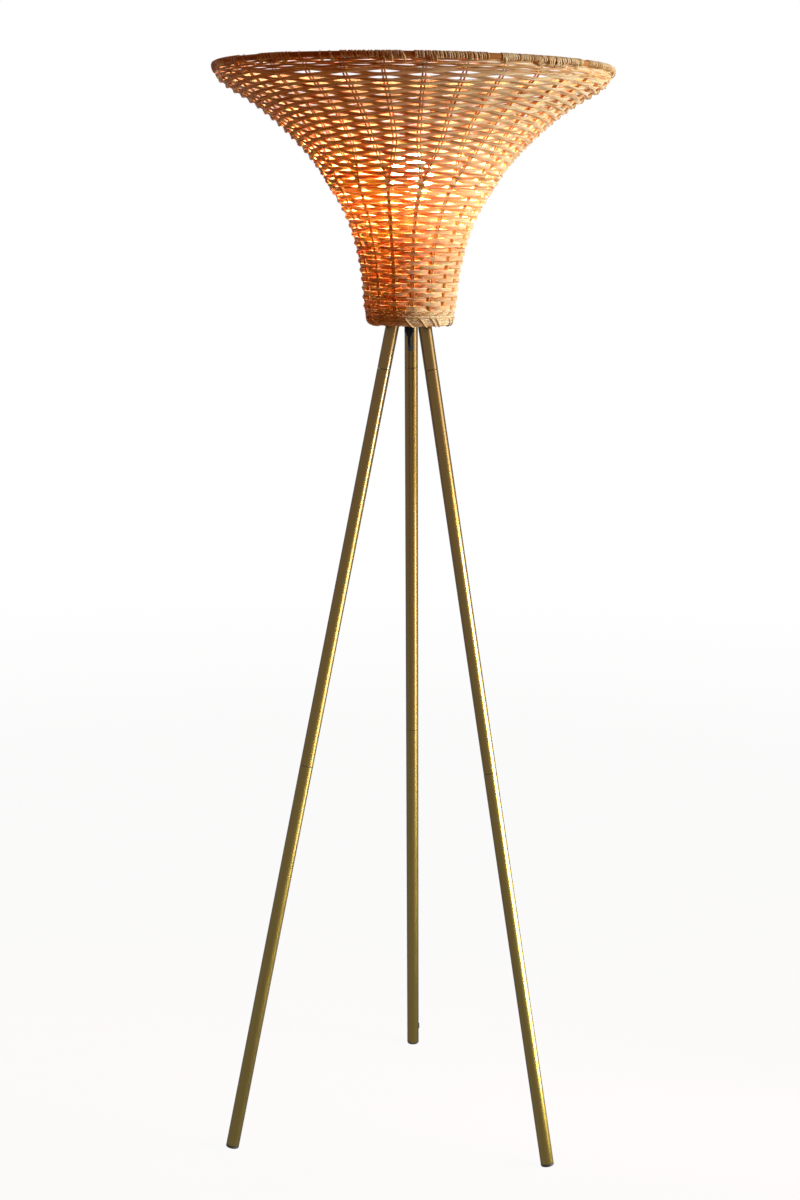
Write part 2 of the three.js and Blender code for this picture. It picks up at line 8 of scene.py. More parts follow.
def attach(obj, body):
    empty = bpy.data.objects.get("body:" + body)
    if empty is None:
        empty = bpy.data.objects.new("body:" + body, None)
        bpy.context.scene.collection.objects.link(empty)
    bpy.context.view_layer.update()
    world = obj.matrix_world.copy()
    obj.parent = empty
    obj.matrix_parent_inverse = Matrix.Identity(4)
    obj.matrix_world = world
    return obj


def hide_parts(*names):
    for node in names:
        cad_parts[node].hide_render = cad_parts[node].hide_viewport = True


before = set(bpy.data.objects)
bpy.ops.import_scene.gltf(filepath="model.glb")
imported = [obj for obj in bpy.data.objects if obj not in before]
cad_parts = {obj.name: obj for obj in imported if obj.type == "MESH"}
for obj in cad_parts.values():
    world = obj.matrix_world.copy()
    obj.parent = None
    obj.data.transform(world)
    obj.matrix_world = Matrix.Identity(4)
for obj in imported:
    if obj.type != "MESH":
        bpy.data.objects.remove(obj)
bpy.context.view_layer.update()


# Camera, at the height of the neck of the shade, looking slightly down from the front.
# The lamp's back leg points along +Y, a few degrees to the right of the line of sight.
camera_place = (0.2457, -2.7376, 1.3498)
view_heading = 0.0923
view_pitch = 0.1975
view_roll = 0.0146


def in_scene(name, data):
    """A new object in the scene."""
    made = bpy.data.objects.new(name, data)
    bpy.context.scene.collection.objects.link(made)
    return made


camera = in_scene("camera", bpy.data.cameras.new("camera"))
camera.data.lens = 58.295
camera.data.sensor_width = 36
camera.matrix_world = (
    Matrix.Translation(camera_place)
    @ Matrix.Rotation(view_heading, 4, "Z")
    @ Matrix.Rotation(math.pi / 2 - view_pitch, 4, "X")
    @ Matrix.Rotation(view_roll, 4, "Z")
)
bpy.context.scene.camera = camera
bpy.context.scene.view_settings.view_transform = "Standard"


# Studio: a white floor that runs out into white surroundings, one large soft lamp at the
# right, level with the shade, two small low ones that only draw the bright strip along the
# legs, and weak warm light from all round.
class Signal:
    """An output socket of a node tree. Arithmetic on it adds Math nodes to its tree."""

    def __init__(self, tree, socket=None):
        self.tree = tree
        self.socket = socket

    def node(self, kind, inputs=None, out=0, **settings):
        """Adds a node: its settings first, then the values or signals of its sockets."""
        made = self.tree.nodes.new(kind)
        for name, value in settings.items():
            setattr(made, name, value)
        for name, value in (inputs or {}).items():
            if isinstance(value, Signal):
                self.tree.links.new(value.socket, made.inputs[name])
            else:
                made.inputs[name].default_value = value
        return Signal(self.tree, made.outputs[out] if len(made.outputs) else None)

    def other(self, name):
        """Another output of the same node."""
        return Signal(self.tree, self.socket.node.outputs[name])

    def math(self, operation, *others):
        values = dict(enumerate((self, *others)))
        return self.node("ShaderNodeMath", values, operation=operation)

    def vector_math(self, operation, *others, out=0):
        values = dict(enumerate((self, *others)))
        return self.node("ShaderNodeVectorMath", values, out, operation=operation)

    def __add__(self, value):
        return self.math("ADD", value)

    __radd__ = __add__

    def __sub__(self, value):
        return self.math("SUBTRACT", value)

    def __rsub__(self, value):
        return self.math("MULTIPLY_ADD", -1.0, value)

    def __mul__(self, value):
        return self.math("MULTIPLY", value)

    __rmul__ = __mul__

    def __truediv__(self, value):
        return self.math("DIVIDE", value)

    def __neg__(self):
        return self.math("MULTIPLY", -1.0)

    def between(self, low, high, start=0.0, end=1.0):
        """The signal's place between low and high, eased, as a value from start to end."""
        values = {0: self, 1: low, 2: high, 3: start, 4: end}
        return self.node("ShaderNodeMapRange", values, interpolation_type="SMOOTHSTEP")

    def blend(self, first, second):
        """A colour, from first where the signal is 0 to second where it is 1."""
        return self.node("ShaderNodeMix", {0: self, 6: first, 7: second}, 2, data_type="RGBA")

    def vector(self, x, y, z):
        return self.node("ShaderNodeCombineXYZ", {0: x, 1: y, 2: z})

    def parts(self):
        split = self.node("ShaderNodeSeparateXYZ", {0: self})
        return split, split.other("Y"), split.other("Z")

    def noise(self, scale, detail=3.0, roughness=0.6):
        """Noise from 0 to 1, read at this place."""
        return self.node(
            "ShaderNodeTexNoise",
            {"Vector": self, "Scale": scale, "Detail": detail, "Roughness": roughness},
        )


def colour(red, green, blue):
    return (red, green, blue, 1.0)


def seen_directly(tree):
    """1 for what the camera sees, directly or in metal or glass, and 0 for what lights the lamp."""
    path = Signal(tree).node("ShaderNodeLightPath")
    seen = path.other("Is Camera Ray") + path.other("Is Glossy Ray")
    return (seen + path.other("Is Transmission Ray")).math("MINIMUM", 1.0)


white = colour(1, 1, 1)
fill_light = colour(0.165, 0.037, 0.007)
world = bpy.data.worlds.new("surroundings")
world.use_nodes = True
world.node_tree.nodes.clear()
surroundings = seen_directly(world.node_tree).blend(fill_light, white)
background = surroundings.node("ShaderNodeBackground", {"Color": surroundings})
background.node("ShaderNodeOutputWorld", {"Surface": background})
bpy.context.scene.world = world

floor_half = 60.0
floor_tone = colour(0.48, 0.24, 0.09)
shadow_reach = (1.6, 4.5)
white_near_and_far = (0.95, 1.0)
corners = [(-floor_half, -floor_half, 0), (floor_half, -floor_half, 0)]
corners += [(floor_half, floor_half, 0), (-floor_half, floor_half, 0)]
floor_mesh = bpy.data.meshes.new("floor")
floor_mesh.from_pydata(corners, [], [(0, 1, 2, 3)])
floor = in_scene("floor", floor_mesh)
floor_paint = bpy.data.materials.new("floor_paint")
floor_paint.use_nodes = True
floor_paint.node_tree.nodes.clear()
floor_place = Signal(floor_paint.node_tree).node("ShaderNodeTexCoord", out="Object")
from_lamp = floor_place.vector_math("LENGTH", out="Value")
whiteness = from_lamp.between(*shadow_reach, *white_near_and_far)
seen = seen_directly(floor_paint.node_tree) * whiteness
matt = seen.node("ShaderNodeBsdfDiffuse", {"Color": floor_tone})
plain = seen.node("ShaderNodeEmission", {"Color": white, "Strength": 1.0})
paint = seen.node("ShaderNodeMixShader", {0: seen, 1: matt, 2: plain})
paint.node("ShaderNodeOutputMaterial", {"Surface": paint})
floor_mesh.materials.append(floor_paint)


def soft_lamp(name, place, target, width, height, power, tint=(1.0, 1.0, 1.0), spread=180):
    data = bpy.data.lights.new(name, "AREA")
    data.shape = "RECTANGLE"
    data.size = width
    data.size_y = height
    data.energy = power
    data.color = tint
    data.spread = math.radians(spread)
    aim = Vector(target) - Vector(place)
    turn = aim.to_track_quat("-Z", "Y").to_matrix().to_4x4()
    in_scene(name, data).matrix_world = Matrix.Translation(place) @ turn


cool = (0.90, 0.96, 1.0)
place, target = (2.2, -0.16, 1.42), (0, 0, 1.12)
soft_lamp("right_lamp", place, target, width=1.1, height=2.2, power=64)
place, target = (0.76, -0.02, 0.32), (0.1, 0.04, 0.26)
soft_lamp("low_lamp", place, target, width=0.34, height=0.62, power=6.5, tint=cool, spread=80)
place, target = (0.98, -0.22, 0.58), (0, 0.02, 0.52)
soft_lamp("middle_lamp", place, target, width=0.44, height=0.86, power=7, tint=cool, spread=40)


# Legs: three brass-finished steel tubes, each screwed together from two equal lengths and a
# short stub that is welded under the hub. The finish is a brown lacquer over brushed plating.
foot_circle = 0.2665
leg_circle_at_shade = 0.026
shade_foot = 1.194
lean = math.atan2(foot_circle - leg_circle_at_shade, shade_foot)
leg_azimuths = {"back": math.radians(90), "left": math.radians(210), "right": math.radians(330)}
tube_radius = 0.0095
tube_bore = 0.0083
tube_edge = 0.0004
tube_lengths = {
    "lower_tube": (0.0047064, 0.5797006),
    "upper_tube": (0.5800006, 1.1549949),
    "leg_stub": (1.1552949, 1.2300),
}
hub_underside = 1.1997
lead_hole_radius = 0.004
# The lead's two holes in the back leg: which way each faces, and how far along the leg it is.
lead_holes = {"leg_stub": (math.pi, 1.1852949), "lower_tube": (math.radians(-75), 0.032)}


def leg_place(side):
    """From a leg's own frame, with the tube along +Z and outwards at +X, into the lamp."""
    return (
        Matrix.Rotation(leg_azimuths[side], 4, "Z")
        @ Matrix.Translation((foot_circle, 0, 0))
        @ Matrix.Rotation(-lean, 4, "Y")
    )


def hole_place(facing, along):
    """From a hole's own frame, outwards along +Z, into the frame of its leg."""
    return (
        Matrix.Translation((0, 0, along))
        @ Matrix.Rotation(facing, 4, "Z")
        @ Matrix.Rotation(math.pi / 2, 4, "Y")
    )


def turned_mesh(name, outline, sides, closed):
    """A lathe mesh from [radius, height] pairs that run up on the outside.

    A radius may be a function of the angle, where a piece isn't round."""
    mesh = bpy.data.meshes.new(name)
    work = bmesh.new()
    rings = []
    for radius, height in outline:
        if radius == 0:
            rings.append([work.verts.new((0, 0, height))] * sides)
            continue
        ring = []
        for i in range(sides):
            angle = 2 * math.pi * i / sides
            reach = radius(angle) if callable(radius) else radius
            ring.append(work.verts.new((reach * math.cos(angle), reach * math.sin(angle), height)))
        rings.append(ring)
    for low, high in zip(rings, rings[1:] + (rings[:1] if closed else [])):
        for i in range(sides):
            corners = [low[i], low[(i + 1) % sides], high[(i + 1) % sides], high[i]]
            work.faces.new(list(dict.fromkeys(corners)))
    work.to_mesh(mesh)
    work.free()
    return mesh


def tube_mesh(name, bore, radius, bottom, top, edge, sides=64):
    """A tube or a flat ring with its outer edges broken."""
    outline = [
        (bore, bottom),
        (radius - edge, bottom),
        (radius, bottom + edge),
        (radius, top - edge),
        (radius - edge, top),
        (bore, top),
    ]
    return turned_mesh(name, outline, sides, True)


def keep_local_place(mesh):
    """Stores where each vertex lies in the piece's own frame, for grain that follows the piece."""
    local = mesh.attributes.new("local", "FLOAT_VECTOR", "POINT")
    local.data.foreach_set("vector", [c for v in mesh.vertices for c in v.co])


def show(mesh, body, material, node, sharp=35):
    """Puts a finished mesh in the lamp, on its body and in place of its CAD node."""
    mesh.shade_smooth()
    mesh.set_sharp_from_angle(angle=math.radians(sharp))
    mesh.materials.clear()
    mesh.materials.append(material)
    piece = in_scene(mesh.name, mesh)
    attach(piece, body)
    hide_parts(node)


def surface_material(name):
    """A material with one Principled shader, the place on the lamp, and a way to feed it."""
    material = bpy.data.materials.new(name)
    material.use_nodes = True
    tree = material.node_tree
    shader = tree.nodes["Principled BSDF"]

    def feed(socket, value):
        if isinstance(value, Signal):
            tree.links.new(value.socket, shader.inputs[socket])
        else:
            shader.inputs[socket].default_value = value

    return material, Signal(tree).node("ShaderNodeTexCoord", out="Object"), feed


def bump(height, depth, strength):
    values = {"Height": height, "Distance": depth, "Strength": strength}
    return height.node("ShaderNodeBump", values)


def aged_brass():
    material, place, feed = surface_material("aged_brass")
    local = place.node("ShaderNodeAttribute", out="Vector", attribute_name="local")
    x, y, along = local.parts()
    _, _, level = place.parts()
    brushing = place.vector(x, y, along * 0.012).noise(2600.0)
    drift = place.vector(x * 6.0, y * 6.0, along * 0.22).noise(24.0, 3.0, 0.55)
    patches = local.noise(14.0, 2.0, 0.5)
    # Painted light: towards the top the brass is painted redder, standing in for the warm light of
    # the bulb that falls on the upper legs.
    low_brass, brass_painted_warm_at_top = colour(0.118, 0.084, 0.012), colour(0.115, 0.060, 0.009)
    plating_and_painted_warm_light = level.between(0.1, 1.15).blend(low_brass, brass_painted_warm_at_top)
    lacquer = drift.between(0.3, 0.7, 0.0, 0.4).blend(plating_and_painted_warm_light, colour(0.098, 0.060, 0.009))
    streak, dulled = colour(0.085, 0.045, 0.007), colour(0.08, 0.05, 0.010)
    streaked = brushing.between(0.45, 0.75, 0.0, 0.15).blend(lacquer, streak)
    feed("Base Color", patches.between(0.6, 0.8, 0.0, 0.3).blend(streaked, dulled))
    feed("Metallic", 1.0)
    feed("Roughness", patches.between(0.3, 0.7, 0.34, 0.38))
    feed("Specular Tint", colour(0.14, 0.11, 0.07))
    feed("Coat Weight", 0.45)
    feed("Coat Roughness", 0.12)
    feed("Normal", bump(brushing, 0.000001, 0.03))
    return material


def plain_mesh(carrier):
    """The mesh that an object's curve and modifiers come to."""
    bpy.context.view_layer.update()
    graph = bpy.context.evaluated_depsgraph_get()
    return bpy.data.meshes.new_from_object(carrier.evaluated_get(graph))


def drilled(mesh, facing, along):
    """Cuts the lead's hole through the wall of a tube that still lies in its leg's frame."""
    name = mesh.name
    reach = 0.02
    drill_outline = [(0, 0), (lead_hole_radius, 0), (lead_hole_radius, reach), (0, reach)]
    drill = turned_mesh("drill", drill_outline, 32, False)
    drill.transform(hole_place(facing, along))
    tube = in_scene(name, mesh)
    cutter = in_scene("drill", drill)
    cut = tube.modifiers.new("hole", "BOOLEAN")
    cut.operation = "DIFFERENCE"
    cut.solver = "EXACT"
    cut.object = cutter
    bored = plain_mesh(tube)
    for part, used in ((tube, mesh), (cutter, drill)):
        bpy.data.objects.remove(part)
        bpy.data.meshes.remove(used)
    bored.name = name
    return bored


def trim_level(mesh, height, outer, close):
    """Cuts off what lies past a level plane and closes the cut."""
    work = bmesh.new()
    work.from_mesh(mesh)
    everything = work.verts[:] + work.edges[:] + work.faces[:]
    cut = bmesh.ops.bisect_plane(
        work, geom=everything, plane_co=(0, 0, height), plane_no=outer, clear_outer=True
    )
    close(work, edges=[e for e in cut["geom_cut"] if isinstance(e, bmesh.types.BMEdge)])
    bmesh.ops.recalc_face_normals(work, faces=work.faces)
    work.to_mesh(mesh)
    work.free()


tube_finish = aged_brass()
for side in leg_azimuths:
    for kind, (low_end, high_end) in tube_lengths.items():
        skin = f"{kind}_{side}_skin"
        tube = tube_mesh(skin, tube_bore, tube_radius, low_end, high_end, tube_edge)
        if side == "back" and kind in lead_holes:
            tube = drilled(tube, *lead_holes[kind])
        keep_local_place(tube)
        tube.transform(leg_place(side))
        if kind == "leg_stub":
            trim_level(tube, hub_underside, (0, 0, 1), bmesh.ops.bridge_loops)
        show(tube, "root", tube_finish, f"{kind}_{side}")


# Screwed leg joints: a zinc-plated stud in the top of one tube and a threaded socket in the
# next. They are inside the tubes, and turned only when the lamp is put together.
stud_thread_pitch = 0.001


def turned_zinc():
    material, place, feed = surface_material("turned_zinc")
    _, _, z = place.parts()
    spangle = place.noise(900.0)
    thread = (z * (2 * math.pi / stud_thread_pitch)).math("SINE")
    dull, bright = colour(0.46, 0.47, 0.48), colour(0.68, 0.69, 0.70)
    feed("Base Color", spangle.between(0.35, 0.7).blend(dull, bright))
    feed("Metallic", 1.0)
    feed("Roughness", spangle.between(0.3, 0.7, 0.28, 0.45))
    feed("Normal", bump(thread + spangle * 0.2, 0.00012, 0.6))
    return material


def refinish(node, material):
    """Gives a CAD piece that is shown as it is its own finish."""
    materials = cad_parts[node].data.materials
    materials.clear()
    materials.append(material)


zinc = turned_zinc()
for side in leg_azimuths:
    for kind in ("lower_stud", "lower_socket", "upper_stud", "upper_socket"):
        refinish(f"{kind}_{side}", zinc)


# Foot plugs: soft black plugs pushed into the tube ends, their lower edges chamfered and worn
# flat on the floor.
foot_start = 0.0009064
foot_flange = 0.0035
foot_chamfer = 0.0011
shank_length = 0.012
shank_wall = 0.002
shank_radius = tube_bore - 0.0003
shank_chamfer = 0.001


def moulded_rubber():
    material, place, feed = surface_material("moulded_rubber")
    fine = place.noise(2400.0, 4.0)
    dust = place.noise(160.0)
    clean, dusty = colour(0.014, 0.013, 0.010), colour(0.045, 0.042, 0.036)
    feed("Base Color", dust.between(0.5, 0.8).blend(clean, dusty))
    feed("Roughness", dust.between(0.3, 0.8, 0.55, 0.8))
    feed("Normal", bump(fine, 0.00005, 0.6))
    return material


rubber = moulded_rubber()
flange_top = foot_start + foot_flange
shank_top = flange_top + shank_length
plug_outline = [
    (0, foot_start),
    (tube_radius - foot_chamfer, foot_start),
    (tube_radius - foot_chamfer * 0.3, foot_start + foot_chamfer * 0.35),
    (tube_radius, foot_start + foot_chamfer),
    (tube_radius, flange_top),
    (shank_radius, flange_top),
    (shank_radius, shank_top - shank_chamfer),
    (shank_radius - shank_chamfer, shank_top),
    (shank_radius - shank_wall, shank_top),
    (shank_radius - shank_wall, flange_top),
    (0, flange_top),
]
for side in leg_azimuths:
    plug = turned_mesh(f"foot_{side}_plug", plug_outline, 64, False)
    plug.transform(leg_place(side))
    trim_level(plug, 0.0, (0, 0, -1), bmesh.ops.holes_fill)
    show(plug, "root", rubber, f"foot_{side}")


# Grommets: black rubber rings that line the lead's two holes in the back leg, one facing
# inwards under the hub and one low on the leg's right side.
grommet_lip = 0.0046
grommet_neck = 0.0037
grommet_bore = 0.0028
# Radius and distance from the tube's axis, from the lip inside the tube to the one outside.
grommet_outline = [
    (grommet_bore, 0.0071),
    (grommet_lip - 0.0006, 0.0071),
    (grommet_lip, 0.0075),
    (grommet_lip, 0.0078),
    (grommet_neck, 0.0081),
    (grommet_neck, 0.0092),
    (grommet_lip, 0.0092),
    (grommet_lip, 0.0102),
    (grommet_lip - 0.0004, 0.0106),
    (grommet_lip - 0.001, 0.0108),
    (grommet_bore + 0.0004, 0.0108),
    (grommet_bore, 0.0104),
]
for grommet, tube in (("entry_grommet", "leg_stub"), ("exit_grommet", "lower_tube")):
    ring = turned_mesh(grommet + "_ring", grommet_outline, 40, True)
    for vertex in ring.vertices:
        # The lips follow the round of the tube: they lie further in at the sides.
        across = vertex.co.y
        vertex.co.z -= tube_radius - math.sqrt(tube_radius**2 - across**2)
    ring.transform(leg_place("back") @ hole_place(*lead_holes[tube]))
    show(ring, "root", rubber, grommet)


# Hub and clamp: a brass-finished disc on the stubs, with the threaded riser tube through it,
# a nut below, and a washer and nut above that clamp the bottom of the shade.
riser_hole = 0.0053
nut_flat = 0.007
nut_height = 0.003
nut_bottoms = {"lower_nut": 1.1967, "shade_nut": 1.2114, "holder_lock_nut": 1.2927}


def hex_nut(name, bottom, top):
    """A six-sided nut with its corners turned down on both faces."""
    corner = nut_flat / math.cos(math.pi / 6)
    turned_down = 0.0004
    turned_height = 0.0005

    def flank(angle):
        from_flat = (angle + math.pi / 6) % (math.pi / 3) - math.pi / 6
        return min(nut_flat / math.cos(from_flat), corner)

    def chamfer(angle):
        return min(flank(angle), corner - 2 * turned_down)

    outline = [
        (chamfer, bottom),
        (flank, bottom + turned_height),
        (flank, top - turned_height),
        (chamfer, top),
        (riser_hole, top),
        (riser_hole, bottom),
    ]
    return turned_mesh(name, outline, 48, True)


hub = tube_mesh(
    "hub_disc", bore=riser_hole, radius=0.048, bottom=1.2, top=1.203, edge=0.0006, sides=96
)
keep_local_place(hub)
show(hub, "root", tube_finish, "hub_plate")
riser = tube_mesh(
    "threaded_riser", bore=0.004, radius=0.005, bottom=1.1877, top=1.305, edge=0.0003, sides=48
)
show(riser, "root", zinc, "riser_tube")
washer = tube_mesh(
    "clamp_washer_plate", bore=riser_hole, radius=0.017, bottom=1.2096, top=1.2111, edge=0.0003
)
show(washer, "root", zinc, "clamp_washer")
for node, bottom in nut_bottoms.items():
    nut = hex_nut(node + "_hex", bottom, bottom + nut_height)
    show(nut, "root", zinc, node, sharp=20)


# Cord grip: a black moulded sleeve screwed on the end of the riser, which tapers down to the
# lead.
grip_top = 1.1964
grip_end = 1.177
grip_radius = 0.0071
grip_end_radius = 0.0038
grip_bore = 0.0028
riser_depth = 0.009


def even_finish(name, grain, tones, gloss, relief, turns=(0.3, 0.7), mottle=None, plain=()):
    """One stuff all through: noise takes it between two tones and two degrees of gloss."""
    material, place, feed = surface_material(name)
    fine = place.noise(grain)
    broad = place.noise(mottle) if mottle else fine
    feed("Base Color", broad.between(*turns).blend(colour(*tones[0]), colour(*tones[1])))
    feed("Roughness", fine.between(0.3, 0.7, *gloss))
    feed("Normal", bump(fine, *relief))
    for socket, value in plain:
        feed(socket, value)
    return material


black_moulding = even_finish(
    "black_moulding",
    grain=3200.0,
    tones=((0.004, 0.005, 0.008), (0.009, 0.010, 0.014)),
    gloss=(0.42, 0.55),
    relief=(0.00003, 0.5),
    turns=(0.3, 0.8),
    plain=[("Specular IOR Level", 0.12)],
)
grip_outline = [
    (grip_bore, grip_end),
    (grip_end_radius - 0.0004, grip_end),
    (grip_end_radius, grip_end + 0.0005),
    (grip_radius - 0.0008, grip_top - 0.0138),
    (grip_radius, grip_top - 0.0126),
    (grip_radius, grip_top - 0.0006),
    (grip_radius - 0.0006, grip_top),
    (riser_hole, grip_top),
    (riser_hole, grip_top - riser_depth),
    (grip_bore, grip_top - riser_depth),
]
grip = turned_mesh("cord_grip_sleeve", grip_outline, 64, True)
show(grip, "root", black_moulding, "cord_grip")


# Lead: a round sheathed lead, 5 mm thick. It comes down through the riser and the grip, bends
# over into the back stub, and runs down inside the leg to its exit grommet.
lead_radius = 0.0025
same_point = 0.000001
lead_route = [
    (0, 0, 1.3097),
    (0, 0, 1.305),
    (0, 0, 1.2093),
    (0, 0, 1.1964),
    (0, 0, 1.1767),
    (0, 0.00228, 1.1682),
    (0, 0.0085, 1.16198),
    (0, 0.01641, 1.15971),
    (0, 0.02069, 1.15959),
    (0, 0.02716, 1.16089),
    (0, 0.03344, 1.16012),
    (0, 0.03766, 1.15587),
    (0, 0.03843, 1.14949),
    (0, 0.03795, 1.14226),
    (0, 0.03875, 1.13222),
    (0, 0.04233, 1.11294),
    (0, 0.05978, 1.02629),
    (0, 0.08711, 0.89062),
    (0, 0.11444, 0.75495),
    (0, 0.14176, 0.61928),
    (0, 0.16909, 0.48361),
    (0, 0.19642, 0.34793),
    (0, 0.22374, 0.21226),
    (0, 0.2431, 0.11616),
    (0, 0.25268, 0.06862),
    (-0.00213, 0.25567, 0.05086),
    (-0.00377, 0.25702, 0.04195),
    (-0.00309, 0.25838, 0.03611),
    (0.00039, 0.26012, 0.03217),
    (0.00483, 0.26145, 0.03163),
    (0.00918, 0.26259, 0.03186),
]
sheathing = even_finish(
    "sheathing",
    grain=700.0,
    tones=((0.003, 0.011, 0.009), (0.006, 0.020, 0.016)),
    gloss=(0.45, 0.6),
    relief=(0.00006, 0.4),
    turns=(0.3, 0.8),
    plain=[("Specular IOR Level", 0.12)],
)


def smooth_line(name, places, steps):
    """An object with a smooth curve through the places."""
    line = bpy.data.curves.new(name, "CURVE")
    line.dimensions = "3D"
    line.resolution_u = steps
    spline = line.splines.new("BEZIER")
    spline.bezier_points.add(len(places) - 1)
    for point, place in zip(spline.bezier_points, places):
        point.co = place
        point.handle_left_type = "AUTO"
        point.handle_right_type = "AUTO"
    return in_scene(name, line)


lead_line = smooth_line("lead_sheath", lead_route, 6)
lead_line.data.bevel_depth = lead_radius
lead_line.data.bevel_resolution = 6
lead_line.data.use_fill_caps = True
lead = plain_mesh(lead_line)
bpy.data.objects.remove(lead_line)
lead.name = "lead_sheath"
work = bmesh.new()
work.from_mesh(lead)
bmesh.ops.remove_doubles(work, verts=work.verts, dist=same_point)
work.to_mesh(lead)
work.free()
show(lead, "root", sheathing, "lead")


# Disc: 6 mm birch plywood in the bottom of the shade, with a hole for the riser. The washer
# and its nut clamp it on the hub.
two_plies = 0.004


def plywood():
    material, place, feed = surface_material("birch_plywood")
    x, y, z = place.parts()
    grain = place.vector(x * 0.08, y, z).noise(900.0, 4.0)
    figure = place.vector(x * 0.2, y + grain * 0.0006, z * 3.0).noise(90.0)
    plies = (z * (2 * math.pi / two_plies)).math("SINE").between(-0.3, 0.3)
    late_wood, early_wood = colour(0.50, 0.31, 0.14), colour(0.66, 0.45, 0.23)
    face = figure.between(0.3, 0.7).blend(late_wood, early_wood)
    veined = grain.between(0.55, 0.75).blend(face, colour(0.38, 0.22, 0.09))
    feed("Base Color", (plies * 0.25).blend(veined, colour(0.30, 0.17, 0.07)))
    feed("Roughness", grain.between(0.3, 0.7, 0.55, 0.72))
    feed("Normal", bump(grain, 0.0001, 0.5))
    return material


disc = tube_mesh(
    "plywood_disc", bore=riser_hole, radius=0.0571, bottom=1.2033, top=1.2093, edge=0.0004, sides=96
)
show(disc, "root", plywood(), "shade_disc")


# Shade stakes: peeled rattan rods in pairs, which stand in the bottom border and carry the
# weave up to the hoop. Sixteen groups in the neck open out into thirty-two pairs.
groups = 16
neck_gap_share = 0.44
neck_pair_spread = 0.0008
pair_stagger = 0.0006
stake_wander = 0.0034
strand_half = 0.00078
swing_neck = 0.0025
swing_top = 0.0028
lean_start = 1.30
split_low = 1.372
split_high = 1.445
neck_turn = math.radians(-82.3)
top_turn = math.radians(-76.2)
shade_outline = [
    (0.0622, 1.2030),
    (0.0642, 1.2160),
    (0.0662, 1.2350),
    (0.0678, 1.2520),
    (0.0735, 1.2850),
    (0.0822, 1.3180),
    (0.0955, 1.3500),
    (0.1155, 1.3830),
    (0.1360, 1.4130),
    (0.1660, 1.4455),
    (0.1990, 1.4750),
    (0.2300, 1.4972),
    (0.2520, 1.5100),
    (0.2655, 1.5205),
    (0.2712, 1.5300),
    (0.2725, 1.5400),
]


def outline_line(name, outline):
    """A smooth curve through [radius, height] pairs, for a node tree to follow round the lamp."""
    return smooth_line(name, [(radius, 0, height) for radius, height in outline], 16)


def start_tree(name, numbers):
    """A node tree with a curve, its named sizes and a material as inputs, and a mesh as output."""
    tree = bpy.data.node_groups.new(name, "GeometryNodeTree")
    tree.is_modifier = True
    tree.interface.new_socket("Outline", in_out="INPUT", socket_type="NodeSocketGeometry")
    for label, value in numbers.items():
        kind = "NodeSocketInt" if isinstance(value, int) else "NodeSocketFloat"
        tree.interface.new_socket(label, in_out="INPUT", socket_type=kind).default_value = value
    tree.interface.new_socket("Material", in_out="INPUT", socket_type="NodeSocketMaterial")
    tree.interface.new_socket("Mesh", in_out="OUTPUT", socket_type="NodeSocketGeometry")
    outputs = tree.nodes.new("NodeGroupInput").outputs
    return Signal(tree), {output.name: Signal(tree, output) for output in outputs if output.name}


def end_tree(geometry, material):
    """Real meshes only, smooth, in their material."""
    smooth = geometry.node("GeometryNodeSetShadeSmooth", {0: geometry})
    real = smooth.node("GeometryNodeRealizeInstances", {0: smooth})
    finished = real.node("GeometryNodeSetMaterial", {"Geometry": real, "Material": material})
    finished.node("NodeGroupOutput", {0: finished})
    return geometry.tree


def grow(name, tree, carrier, material, node, sizes=None):
    """Runs a tree on a curve, and shows the plain mesh as one piece in place of its CAD node."""
    modifier = carrier.modifiers.new(name, "NODES")
    modifier.node_group = tree
    given = {"Material": material, **(sizes or {})}
    for item in tree.interface.items_tree:
        if item.in_out == "INPUT" and item.name in given:
            modifier[item.identifier] = given[item.name]
    mesh = plain_mesh(carrier)
    carrier.modifiers.remove(modifier)
    mesh.name = name
    show(mesh, "root", material, node, sharp=180)


def circle(start, points, radius=1.0):
    values = {"Resolution": points, "Radius": radius}
    return start.node("GeometryNodeCurvePrimitiveCircle", values)


def along_curve(start, measure):
    """Where a point lies along its curve, as a Factor or a Length."""
    return start.node("GeometryNodeSplineParameter", out=measure)


def copied(curve, amount):
    """Copies of a curve, and the number of each."""
    values = {0: curve, "Amount": amount}
    copies = curve.node("GeometryNodeDuplicateElements", values, domain="SPLINE")
    return copies, copies.other("Duplicate Index")


def laid(geometry, places):
    return geometry.node("GeometryNodeSetPosition", {"Geometry": geometry, "Position": places})


def remember(geometry, name, value, domain="POINT"):
    """Stores a number on a curve or an instance, for its material."""
    values = {"Geometry": geometry, "Name": name, "Value": value}
    kind = "GeometryNodeStoreNamedAttribute"
    return geometry.node(kind, values, data_type="FLOAT", domain=domain)


def random_number(identity, seed, low=0.0, high=1.0):
    values = {2: low, 3: high, "ID": identity, "Seed": seed}
    return identity.node("FunctionNodeRandomValue", values, 1, data_type="FLOAT")


def section(start, half_width, half_height, sides):
    """The oval section of a strand."""
    x, y, _ = start.node("GeometryNodeInputPosition").parts()
    return laid(circle(start, sides), start.vector(x * half_width, y * half_height, 0.0))


def swept(curve, profile):
    """A strand's section carried along its curve, upright, with closed ends."""
    upright = curve.node("GeometryNodeSetCurveNormal", {0: curve}, mode="Z_UP")
    values = {"Curve": upright, "Profile Curve": profile, "Fill Caps": True}
    return upright.node("GeometryNodeCurveToMesh", values)


def end_strands(curves, places, tone, profile, given):
    """Lays the curves, stores what their grain follows, and sweeps the section along them."""
    strands = laid(curves, places)
    strands = remember(strands, "along", along_curve(strands, "Length"))
    strands = remember(strands, "tone", tone)
    return end_tree(swept(strands, profile), given["Material"])


def round_the_axis(radius, height, angle):
    return angle.vector(radius * angle.math("COSINE"), radius * angle.math("SINE"), height)


def uneven(turn, waves, layer, scale):
    """Slow noise round the lamp, from -0.5 to 0.5, that closes on itself."""
    return round_the_axis(waves, layer, turn).noise(scale) - 0.5


